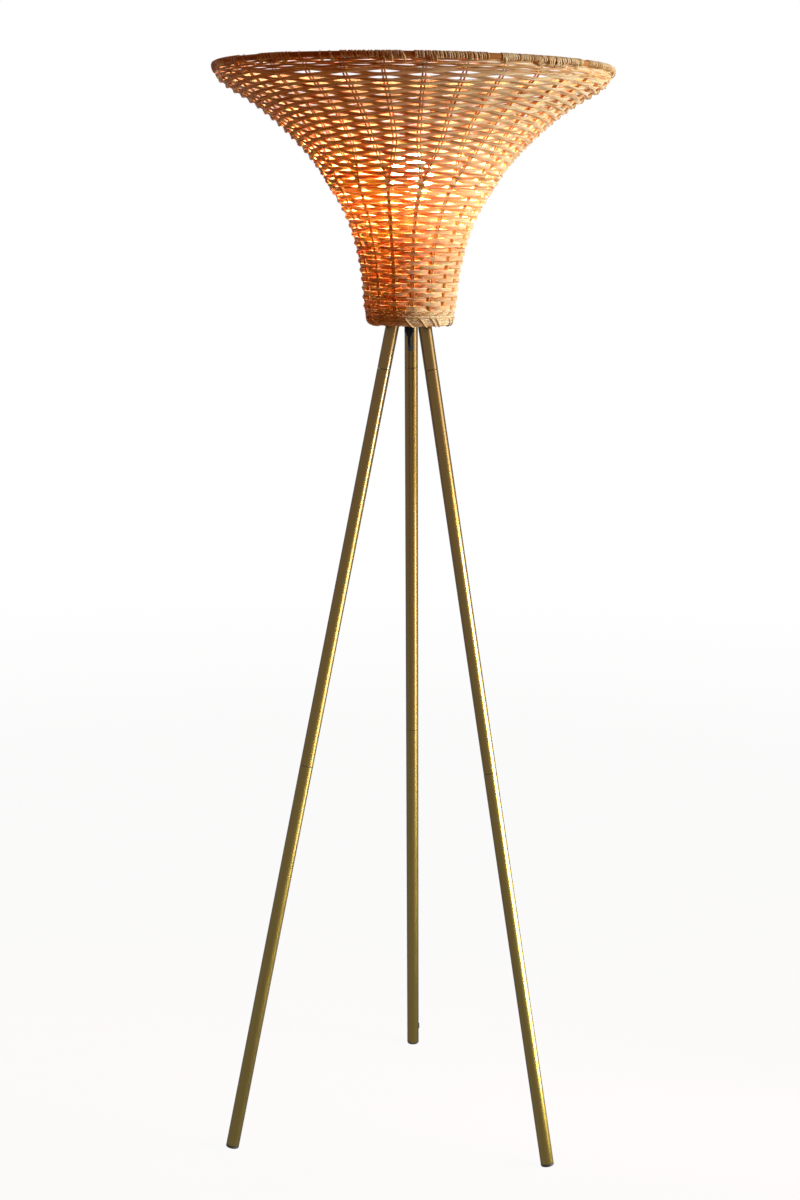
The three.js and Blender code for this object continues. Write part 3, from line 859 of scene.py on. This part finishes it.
def outline_at(given, length):
    """Radius, height and outward normal of the outline at a length along it."""
    sample = length.node(
        "GeometryNodeSampleCurve",
        {"Curves": given["Outline"], "Length": length},
        "Position",
        mode="LENGTH",
        use_all_curves=True,
    )
    radius, _, height = sample.parts()
    along_out, _, along_up = sample.other("Tangent").parts()
    return radius, height, along_up, -along_out


def stand_off(spot, reach, angle):
    """A place that far outside a spot of the outline, at an angle round the lamp's axis."""
    radius, height, outward, upward = spot
    return round_the_axis(radius + outward * reach, height + upward * reach, angle)


def group_turn(height):
    """Azimuth of the first stake group at a height: the stakes lean a little to one side."""
    return height.between(lean_start, split_high, neck_turn, top_turn)


def weave_swing(height):
    """How far a weaver swings in front of the middle of the weave and behind it."""
    return height.between(split_low, split_high, swing_neck, swing_top)


def rattan(name, pale, warm, dark, glow=0.34, glow_depth=0.0024):
    """Peeled rattan: straw to honey, each strand its own tone, with painted light: paler on the
    inside of the shade, where the bulb lights it.
    """
    material, place, feed = surface_material(name)
    from_axis = place.vector_math("MULTIPLY", (1, 1, 0)).vector_math("NORMALIZE")
    outwards = from_axis.vector_math("DOT_PRODUCT", place.other("Normal"), out="Value")
    along = place.node("ShaderNodeAttribute", out="Fac", attribute_name="along")
    tone = place.node("ShaderNodeAttribute", out="Fac", attribute_name="tone")
    fibres = place.vector(0.0, 0.0, along * 14.0 + tone * 61.0).noise(3.4, 4.0, 0.65)
    stains = place.vector(0.0, 0.0, along * 9.0 + tone * 37.0).noise(1.0)
    knots = place.vector(tone * 91.0, 0.0, along * 22.0).noise(1.0, 2.0, 0.5)
    strand = tone.between(0.1, 0.8).blend(pale, warm)
    ground = tone.between(0.84, 0.88, 0.0, 0.7).blend(strand, dark)
    weathered = stains.between(0.45, 0.75).blend(ground, dark)
    fibred = fibres.between(0.5, 0.8, 0.0, 0.5).blend(weathered, dark)
    knotted = knots.between(0.66, 0.74, 0.0, 0.6).blend(fibred, colour(0.17, 0.075, 0.022))
    # Painted light: faces that turn towards the lamp's axis are painted paler, standing in for the
    # bulb's light on the inside of the shade.
    inside_painted_bulb_light = colour(0.90, 0.64, 0.46)
    feed("Base Color", outwards.between(-0.45, 0.1, 0.7, 0.0).blend(knotted, inside_painted_bulb_light))
    feed("Roughness", fibres.between(0.3, 0.7, 0.38, 0.58))
    feed("Specular IOR Level", 0.05)
    feed("Specular Tint", colour(1.0, 0.75, 0.45))
    feed("Subsurface Weight", glow)
    feed("Subsurface Radius", (1.0, 0.6, 0.24))
    feed("Subsurface Scale", glow_depth)
    feed("Normal", bump(fibres, 0.00012, 0.7))
    return material


weaver_rattan = rattan(
    "weaver_rattan",
    pale=colour(0.88, 0.77, 0.49),
    warm=colour(0.78, 0.58, 0.30),
    dark=colour(0.49, 0.25, 0.08),
)
stake_rattan = rattan(
    "stake_rattan",
    pale=colour(0.90, 0.54, 0.26),
    warm=colour(0.80, 0.41, 0.17),
    dark=colour(0.50, 0.21, 0.07),
    glow=0.6,
    glow_depth=0.004,
)
hoop_rattan = rattan(
    "hoop_rattan",
    pale=colour(0.60, 0.32, 0.11),
    warm=colour(0.48, 0.22, 0.06),
    dark=colour(0.30, 0.12, 0.03),
)

shade_line = outline_line("shade_outline", shade_outline)
stake_sizes = {"Groups": groups, "Rod Radius": 0.00118, "Pair Gap": 0.0044, "Points": 90}
start, given = start_tree("stakes", stake_sizes)
values = {"Curve": given["Outline"], "Count": given["Points"]}
line = start.node("GeometryNodeResampleCurve", values)
copies, number = copied(line, given["Groups"] * 4)
group = (number / 4).math("FLOOR")
rod = number.math("MODULO", 4)
pair = (rod / 2).math("FLOOR") * 2 - 1
twin = rod.math("MODULO", 2) * 2 - 1
spot = outline_at(given, along_curve(start, "Length"))
radius, height = spot[:2]
opened = height.between(split_low, split_high)
half_spread = (1 - opened) * neck_pair_spread / radius + opened * (math.pi / 2 / groups)
wander = start.vector(number * 3.7, 0.0, height * 14.0).noise(1.0, 2.0, 0.5) - 0.5
pair_gap = given["Pair Gap"] * opened.between(0.0, 1.0, neck_gap_share, 1.0)
angle = (
    group_turn(height)
    + group * (2 * math.pi / groups)
    + pair * half_spread
    + (twin * pair_gap * 0.5 + wander * stake_wander) / radius
)
reach = (1 - opened) * pair * pair_stagger - (weave_swing(height) + strand_half)
stakes = end_strands(
    copies,
    stand_off(spot, reach, angle),
    random_number(number, 3),
    section(start, given["Rod Radius"], given["Rod Radius"], 8),
    given,
)
grow("shade_stakes", stakes, shade_line, stake_rattan, "shade_weave")


# Weavers: each row is a flat bundle of three thin rattan strands, in front of one stake and
# behind the next, packed down on the row below. It is worked by hand, so no row is quite even.
woven_bands = [(2, 15), (17, 16), (33, 16), (49, 15)]
first_row_over_pairs = 29
group_half_width = 0.84
neck_front_share = 0.62
wave_fullness = 0.96
row_sway_size = 0.0022
strand_sway_size = 0.0012
strand_depth_sway = 0.0011
weaver_sizes = {
    "First Row": 0,
    "Rows": 16,
    "Strands": 3,
    "Row Pitch": 0.0062,
    "Strand Pitch": 0.00204,
    "Strand Height": 0.00122,
    "Neck Pinch": 0.0,
    "Top Pinch": 0.2,
    "Crown": 0.0008,
    "Points": 256,
    "Start": 0.001,
}
start, given = start_tree("weavers", weaver_sizes)
copies, number = copied(circle(start, given["Points"]), given["Rows"] * given["Strands"])
turn = along_curve(start, "Factor") * (2 * math.pi)
row = (number / given["Strands"]).math("FLOOR") + given["First Row"]
strand = number.math("MODULO", given["Strands"]) - (given["Strands"] - 1) * 0.5
row_sway = uneven(turn, 1.6, row * 0.31, 1.3)
strand_sway = uneven(turn, 5.0, row * 5 + strand * 1.7, 1.9)
nominal = given["Start"] + (row + 0.5) * given["Row Pitch"]
level = outline_at(given, nominal)[1]
# The wave of a row: 1 in front of a stake and -1 behind it, for groups in the neck and for
# pairs above.
from_group = turn - group_turn(level)
round_groups = from_group * groups
half_spread = level.between(split_low, split_high, group_half_width, math.pi / 2)
warp = (math.pi / 2 - half_spread) / half_spread.math("SINE")
over_pairs = (round_groups + warp * round_groups.math("SINE")).math("SINE")
over_groups = (from_group * (groups / 2)).math("COSINE")
in_pairs = row.math("GREATER_THAN", first_row_over_pairs - 0.5)
every_other = 1 - 2 * row.math("FLOORED_MODULO", 2.0)
rounded_wave = (in_pairs * over_pairs + (1 - in_pairs) * over_groups) * every_other
even_wave = (rounded_wave * wave_fullness).math("ARCSINE") / math.asin(wave_fullness)
front = level.between(split_low, split_high, neck_front_share, 0.0)
wave = even_wave + front * (1 - even_wave * even_wave)
pinch = level.between(split_low, split_high, given["Neck Pinch"], given["Top Pinch"])
step = strand * given["Strand Pitch"] * (1 - wave.math("ABSOLUTE") * pinch)
length = nominal + step + row_sway * row_sway_size + strand_sway * strand_sway_size
crowned = given["Crown"] * wave * (1 - strand.math("ABSOLUTE"))
swing = weave_swing(level)
reach = strand_sway * strand_depth_sway + crowned - (swing + strand_half) + swing * wave
weavers = end_strands(
    copies,
    stand_off(outline_at(given, length), reach, turn),
    random_number(number, given["First Row"]),
    section(start, strand_half, given["Strand Height"], 6),
    given,
)
for band, (first_row, rows) in enumerate(woven_bands, 1):
    sizes = {"First Row": first_row, "Rows": rows}
    grow(f"woven_rows_{band}", weavers, shade_line, weaver_rattan, "shade_weave", sizes)


# Waling: the first rows at the foot are twined from three strands each and the last ones, below
# the hoop, from two. The strands twist round each other between the stakes and lock the weave's
# edges.
edge_sizes = {
    "Rows": 5,
    "Strands": 2,
    "Start": 0.3977,
    "Row Pitch": 0.0035,
    "Strand Half": 0.00105,
    "Twist": 0.0016,
    "Sway": 0.003,
    "Inset": 0.0027,
    "Twists": 16,
    "Points": 256,
    "Seed": 11,
}
start, given = start_tree("twined_rows", edge_sizes)
copies, number = copied(circle(start, given["Points"]), given["Rows"] * given["Strands"])
turn = along_curve(start, "Factor") * (2 * math.pi)
row = (number / given["Strands"]).math("FLOOR")
strand = number.math("MODULO", given["Strands"])
sway = uneven(turn, 4, number * 2.3, 1.5)
strand_phase = strand * (2 * math.pi) / given["Strands"]
phase = turn * given["Twists"] + strand_phase + row * 1.3 + sway * 1.6
row_place = given["Start"] + (row + 0.5) * given["Row Pitch"]
length = row_place + phase.math("SINE") * given["Twist"] + sway * given["Sway"]
reach = phase.math("COSINE") * given["Twist"] - given["Inset"]
twined_rows = end_strands(
    copies,
    stand_off(outline_at(given, length), reach, turn),
    random_number(number, given["Seed"]),
    section(start, given["Strand Half"], given["Strand Half"], 8),
    given,
)
foot_sizes = {
    "Rows": 4,
    "Strands": 3,
    "Start": -0.0015,
    "Row Pitch": 0.0038,
    "Strand Half": 0.0011,
    "Twist": 0.001,
    "Sway": 0.0016,
    "Seed": 17,
}
grow("waled_edge", twined_rows, shade_line, weaver_rattan, "shade_weave")
grow("waled_foot", twined_rows, shade_line, weaver_rattan, "shade_weave", foot_sizes)
bpy.data.objects.remove(shade_line)


# Hoop: a thick rattan rod at the rim, whipped with thin split strips in groups that leave bare
# stretches, with longer lashings that reach down round the twined edge.
hoop_radius = 0.2710
hoop_height = 1.540
rod_radius = 0.0039
rod_waviness = 0.0016
rod_tone = 0.62
strip_half_thickness = 0.00045
strip_half_width = 0.0012
strip_shift = 0.0011
strip_lean_spread = 0.16
rim_line = outline_line("rim_line", [(hoop_radius - 0.01, hoop_height), (hoop_radius, hoop_height)])

rod_sizes = {"Radius": hoop_radius, "Height": hoop_height, "Rod": rod_radius}
start, given = start_tree("hoop_rod", rod_sizes)
hoop = circle(start, 256, given["Radius"])
uneven_height = (start.node("GeometryNodeInputPosition").noise(9.0, 2.0, 0.5) - 0.5) * rod_waviness
lift = start.vector(0.0, 0.0, given["Height"] + uneven_height)
rod = hoop.node("GeometryNodeSetPosition", {"Geometry": hoop, "Offset": lift})
rod = remember(remember(rod, "along", along_curve(start, "Length")), "tone", rod_tone)
rod = swept(rod, section(start, given["Rod"], given["Rod"], 12))
grow("hoop_rod", end_tree(rod, given["Material"]), rim_line, hoop_rattan, "rim_hoop")

whipping_sizes = {
    "Turns": 600,
    "Radius": hoop_radius,
    "Height": hoop_height,
    "Half Width": 0.0044,
    "Half Height": 0.0045,
    "Bare Below": 0.45,
    "Bare Scale": 5.0,
    "Lean": 0.3,
    "Seed": 5,
}
start, given = start_tree("whipping", whipping_sizes)
x, y, _ = start.node("GeometryNodeInputPosition").parts()
loop_places = start.vector(x * given["Half Width"], 0.0, y * given["Half Height"])
loop = laid(circle(start, 14), loop_places)
loop = remember(loop, "along", along_curve(start, "Length"))
strip_section = section(start, strip_half_thickness, strip_half_width, 6)
values = {"Curve": loop, "Profile Curve": strip_section, "Fill Caps": True}
strip = loop.node("GeometryNodeCurveToMesh", values)
rim = circle(start, given["Turns"], given["Radius"])
points = rim.node("GeometryNodeCurveToPoints", {0: rim}, mode="EVALUATED")
index = start.node("GeometryNodeInputIndex")
shift = random_number(index, given["Seed"], -strip_shift, strip_shift)
angle = index * (2 * math.pi) / given["Turns"] + shift / given["Radius"]
patches = round_the_axis(given["Bare Scale"], given["Seed"], angle).noise(1.0, 2.0)
seated = laid(points, round_the_axis(given["Radius"], given["Height"], angle))
lean_change = random_number(index, given["Seed"] + 1, -strip_lean_spread, strip_lean_spread)
tilt = given["Lean"] + lean_change
around = start.node("FunctionNodeEulerToRotation", {0: start.vector(0.0, 0.0, angle)})
leaning = start.node("FunctionNodeEulerToRotation", {0: start.vector(tilt, 0.0, tilt * 0.6)})
facing = leaning.node(
    "FunctionNodeRotateRotation", {0: around, 1: leaning}, rotation_space="LOCAL"
)
wraps = seated.node(
    "GeometryNodeInstanceOnPoints",
    {
        "Points": seated,
        "Selection": patches.math("GREATER_THAN", given["Bare Below"]),
        "Instance": strip,
        "Rotation": facing,
    },
)
wraps = remember(wraps, "tone", random_number(index, given["Seed"]), "INSTANCE")
whipping = end_tree(wraps, given["Material"])
lashing_sizes = {
    "Turns": 560,
    "Height": 1.5377,
    "Half Width": 0.0045,
    "Half Height": 0.0067,
    "Bare Below": 0.57,
    "Bare Scale": 14.0,
    "Lean": 0.4,
    "Seed": 23,
}
grow("hoop_whipping", whipping, rim_line, weaver_rattan, "rim_hoop")
grow("hoop_lashings", whipping, rim_line, weaver_rattan, "rim_hoop", lashing_sizes)
bpy.data.objects.remove(rim_line)


# Bottom border: the stake ends are folded round under the shade and laid in twined rows, which
# round off its foot. Some of the folded ends show on the outside as slanting strands.
fold_seat = 0.0004
border_outline = [
    (0.0620, 1.2055),
    (0.0617, 1.2010),
    (0.0602, 1.1972),
    (0.0570, 1.1945),
    (0.0535, 1.1942),
    (0.0508, 1.1965),
    (0.0502, 1.2010),
]
border_sizes = {
    "Rows": 6,
    "Strands": 3,
    "Sway": 0.0012,
    "Start": 0.0,
    "Row Pitch": 0.0041,
    "Strand Half": 0.00115,
    "Twist": 0.0010,
    "Inset": -0.0022,
    "Seed": 31,
}
border_line = outline_line("border_line", border_outline)
grow("border_rows", twined_rows, border_line, weaver_rattan, "bottom_border", border_sizes)

end_sizes = {"Ends": 32, "Strand Half": 0.00115, "Slant": 0.36, "Kept": 0.45, "Seed": 7}
start, given = start_tree("folded_ends", end_sizes)
line = start.node("GeometryNodeResampleCurve", {"Curve": given["Outline"], "Count": 14})
copies, number = copied(line, given["Ends"])
chance = random_number(number, given["Seed"])
values = {"Geometry": copies, "Selection": chance.math("GREATER_THAN", given["Kept"])}
kept = copies.node("GeometryNodeDeleteGeometry", values, domain="CURVE")
share = along_curve(start, "Factor")
step = random_number(number, given["Seed"] + 1, -0.06, 0.06)
angle = number * (2 * math.pi) / given["Ends"] + share * given["Slant"] + step + neck_turn
spot = outline_at(given, along_curve(start, "Length"))
folds = end_strands(
    kept,
    stand_off(spot, share.math("PINGPONG", 0.5) * fold_seat - fold_seat, angle),
    chance,
    section(start, given["Strand Half"], given["Strand Half"], 6),
    given,
)
grow("folded_ends", folds, border_line, weaver_rattan, "bottom_border")
bpy.data.objects.remove(border_line)


# Lampholder: a cream moulded cap screwed on the riser, a skirt on the cap, and inside them a
# porcelain block with the brass screw shell and the sprung centre contact.
holder_radius = 0.0195
holder_bore = 0.0175
holder_edge = 0.0004
holder_seam = 1.318
collar_radius = 0.008
skirt_bottom = 1.3183
skirt_ribs = 9
rib_pitch = 0.0028
groove_radius = 0.0190

cream = even_finish(
    "cream_moulding",
    grain=1500.0,
    mottle=60.0,
    tones=((0.72, 0.68, 0.58), (0.80, 0.77, 0.68)),
    gloss=(0.32, 0.42),
    relief=(0.00003, 0.4),
)
cap_outline = [
    (riser_hole, 1.296),
    (0.0076, 1.296),
    (collar_radius, 1.2964),
    (collar_radius, 1.3012),
    (0.0084, 1.3024),
    (0.0188, 1.3074),
    (holder_radius, 1.3086),
    (holder_radius, holder_seam - holder_edge),
    (holder_radius - holder_edge, holder_seam),
    (holder_bore, holder_seam),
    (holder_bore, 1.3097),
    (collar_radius, 1.3097),
    (riser_hole, 1.3053),
]
holder_cap = turned_mesh("holder_cap", cap_outline, 72, True)
show(holder_cap, "root", cream, "lampholder_cap")
skirt_outline = [
    (holder_bore, skirt_bottom),
    (holder_radius - holder_edge, skirt_bottom),
    (holder_radius, skirt_bottom + holder_edge),
]
for rib in range(skirt_ribs):
    rib_bottom = 1.3205 + rib * rib_pitch
    skirt_outline += [
        (holder_radius, rib_bottom),
        (groove_radius, rib_bottom + 0.0003),
        (groove_radius, rib_bottom + 0.0009),
        (holder_radius, rib_bottom + 0.0012),
    ]
skirt_outline += [
    (holder_radius, 1.3515),
    (0.0189, 1.3523),
    (0.0180, 1.3523),
    (holder_bore, 1.3517),
]
holder_skirt = turned_mesh("holder_skirt", skirt_outline, 72, True)
show(holder_skirt, "root", cream, "lampholder_skirt")

glazed_porcelain = even_finish(
    "glazed_porcelain",
    grain=240.0,
    tones=((0.76, 0.74, 0.69), (0.83, 0.82, 0.78)),
    gloss=(0.16, 0.26),
    relief=(0.00005, 0.3),
)
block_outline = [(0, 1.31), (0.0151, 1.31), (0.0155, 1.3104)]
block_outline += [(0.0155, 1.3161), (0.0151, 1.3165), (0, 1.3165)]
block = turned_mesh("porcelain_block", block_outline, 64, False)
show(block, "root", glazed_porcelain, "terminal_block")

contact_brass = even_finish(
    "bright_brass",
    grain=420.0,
    tones=((0.70, 0.48, 0.18), (0.52, 0.33, 0.11)),
    gloss=(0.2, 0.34),
    relief=(0.00003, 0.4),
    turns=(0.3, 0.75),
    plain=[("Metallic", 1.0)],
)
shell_outline = [(0.0114, 1.3168), (0.014, 1.3168), (0.014, 1.3418)]
shell_outline += [(0.0135, 1.3418), (0.0135, 1.3173), (0.0114, 1.3173)]
shell = turned_mesh("brass_screw_shell", shell_outline, 64, True)
show(shell, "root", contact_brass, "screw_shell")
refinish("centre_contact", contact_brass)


# Bulb: a lit opal glass globe on a nickel-plated screw cap, with a black glass insulator and a
# soldered end contact. It turns in the lampholder as one piece. A point lamp as large as the
# globe gives most of its light.
globe_height = 1.3983
globe_radius = 0.030
bulb_neck = 0.014
glass_bottom = 1.3476
glass_wall = 0.001
neck_joins_at = math.radians(-38)
neck_steps = 10
globe_steps = 24
thread_pitch = 0.0036
thread_turns = 4


def lit_opal():
    material, place, feed = surface_material("lit_opal")
    _, _, z = place.parts()
    flow = place.noise(55.0, 2.0, 0.5)
    heart = z.between(1.352, 1.392).blend(colour(1.0, 0.52, 0.18), colour(1.0, 0.66, 0.32))
    grey_opal, pale_opal = colour(0.88, 0.84, 0.76), colour(0.92, 0.89, 0.83)
    feed("Base Color", flow.between(0.3, 0.7).blend(grey_opal, pale_opal))
    feed("Roughness", flow.between(0.3, 0.7, 0.22, 0.3))
    hot = colour(1.0, 0.70, 0.38)
    feed("Emission Color", flow.between(0.2, 0.8, 0.0, 0.15).blend(heart, hot))
    feed("Emission Strength", 30.0)
    feed("Normal", bump(flow, 0.0002, 0.2))
    return material


def glass_profile(inset):
    """The neck as one easy bend and then the globe, from the bottom up."""
    globe = globe_radius - inset
    neck = bulb_neck - inset
    join_radius = globe * math.cos(neck_joins_at)
    join_height = globe_height + globe * math.sin(neck_joins_at)
    waist_height = glass_bottom + (join_height - glass_bottom) * 0.5
    points = []
    for i in range(neck_steps):
        t = i / neck_steps
        first, middle, last = (1 - t) ** 2, 2 * t * (1 - t), t**2
        radius = first * neck + middle * neck + last * join_radius
        points.append((radius, first * glass_bottom + middle * waist_height + last * join_height))
    for i in range(globe_steps):
        angle = neck_joins_at + (math.pi / 2 - neck_joins_at) * i / globe_steps
        points.append((globe * math.cos(angle), globe_height + globe * math.sin(angle)))
    return points + [(0, globe_height + globe)]


glass_outline = list(reversed(glass_profile(glass_wall))) + glass_profile(0)
globe = turned_mesh("opal_globe", glass_outline, 72, False)
show(globe, "bulb", lit_opal(), "bulb_glass", sharp=50)

glow = in_scene("bulb_glow", bpy.data.lights.new("bulb_glow", "POINT"))
glow.data.energy = 6.6
glow.data.color = (1.0, 0.59, 0.35)
glow.data.shadow_soft_size = globe_radius + 0.0008
glow.data.use_soft_falloff = False
glow.location = (0, 0, globe_height)
glow.visible_camera = False

nickel = even_finish(
    "nickel_plate",
    grain=600.0,
    tones=((0.66, 0.64, 0.60), (0.56, 0.54, 0.50)),
    gloss=(0.18, 0.3),
    relief=(0.00002, 0.4),
    plain=[("Metallic", 1.0)],
)
cap_profile = [(0.0105, 1.3269), (0.011, 1.3269), (0.0126, 1.3288)]
for turn_of_thread in range(thread_turns):
    root = 1.3300 + turn_of_thread * thread_pitch
    cap_profile += [(0.0124, root), (0.0132, root + 0.0012)]
    cap_profile += [(0.0132, root + 0.0017), (0.0124, root + 0.0029)]
cap_profile += [(0.0126, 1.3446), (0.0132, 1.3458), (0.0132, 1.3473), (0.0127, 1.3473)]
cap_profile += [(0.0119, 1.3440), (0.0119, 1.3300), (0.0105, 1.3275)]
cap = turned_mesh("nickel_cap", cap_profile, 64, True)
show(cap, "bulb", nickel, "bulb_cap")
tip_profile = [(0, 1.3203), (0.0028, 1.3203), (0.0044, 1.3208)]
tip_profile += [(0.0048, 1.3214), (0.0048, 1.3218), (0, 1.3218)]
tip = turned_mesh("end_contact", tip_profile, 40, False)
show(tip, "bulb", nickel, "bulb_contact")

black_glass = even_finish(
    "black_glass",
    grain=300.0,
    tones=((0.010, 0.010, 0.012), (0.022, 0.020, 0.020)),
    gloss=(0.1, 0.2),
    relief=(0.00004, 0.3),
)
insulator_profile = [(0, 1.3221), (0.0048, 1.3221), (0.0108, 1.3262), (0.011, 1.3266), (0, 1.3266)]
insulator = turned_mesh("glass_insulator", insulator_profile, 48, False)
show(insulator, "bulb", black_glass, "bulb_insulator")
